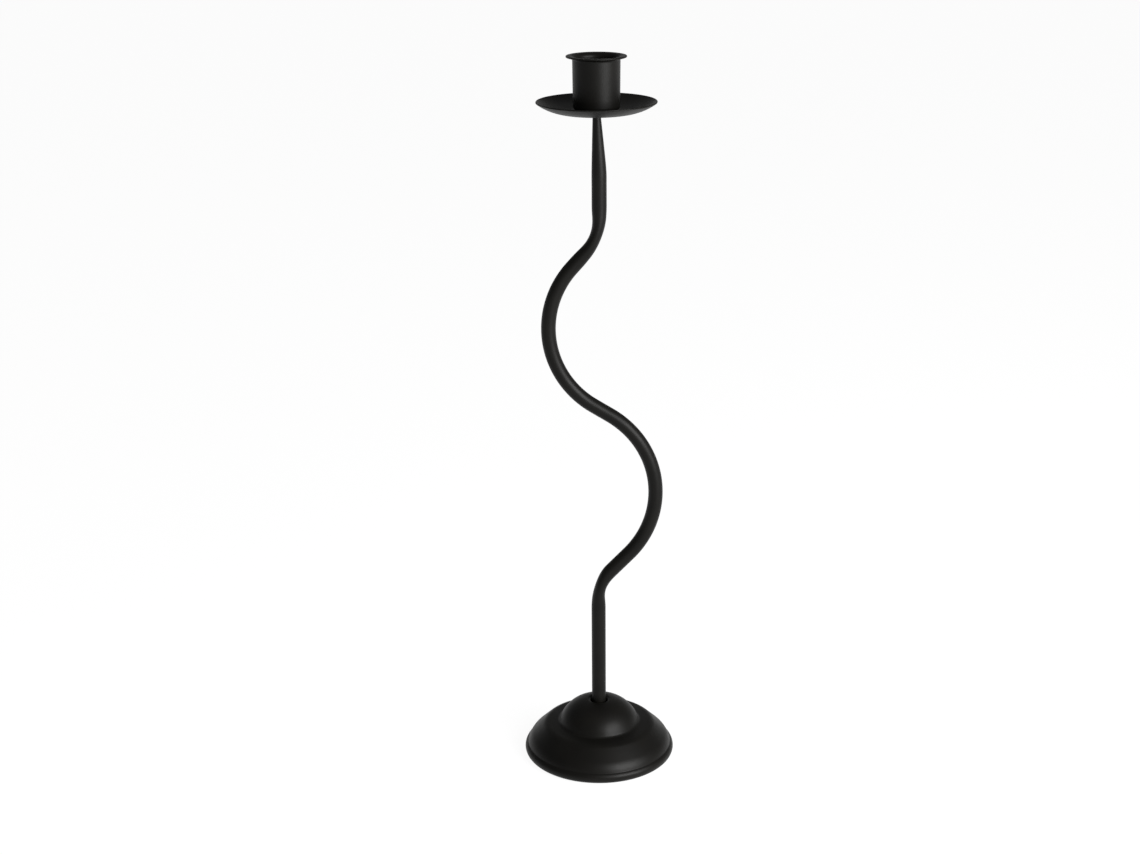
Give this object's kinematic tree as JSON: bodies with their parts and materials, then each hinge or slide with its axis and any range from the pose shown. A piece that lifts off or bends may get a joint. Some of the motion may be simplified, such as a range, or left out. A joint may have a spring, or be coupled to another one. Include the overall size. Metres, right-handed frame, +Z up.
{
  "type": "candlestick with s-bend stem",
  "caption": "Tall black metal candlestick: weighted tiered base, tube stem bent in an S, drip dish and flared cup for a dinner candle.",
  "frame": {"origin": "centre of the felt's underside, on the table, on the axis of base, dish and cup", "axes": "+Z up along that axis; the S-bend lies in the XZ plane with its lower loop towards +X"},
  "size_m": [0.0856, 0.0856, 0.3999],
  "materials": {
    "black_paint": "satin black paint, very finely textured",
    "black_steel": "blackened steel",
    "zinc_steel": "zinc-plated steel",
    "grey_iron": "rough grey iron casting",
    "felt": "short-haired black felt"
  },
  "bodies": {
    "root": {"candle_cup": "black_paint", "drip_dish": "black_paint", "stem_tube": "black_paint", "base_shell": "black_paint", "stem_foot_plug": "zinc_steel", "cup_screw": "black_steel", "base_bolt": "zinc_steel", "base_washer": "zinc_steel", "base_spring_washer": "zinc_steel", "base_weight": "grey_iron", "felt_pad": "felt"}
  },
  "joints": []
}
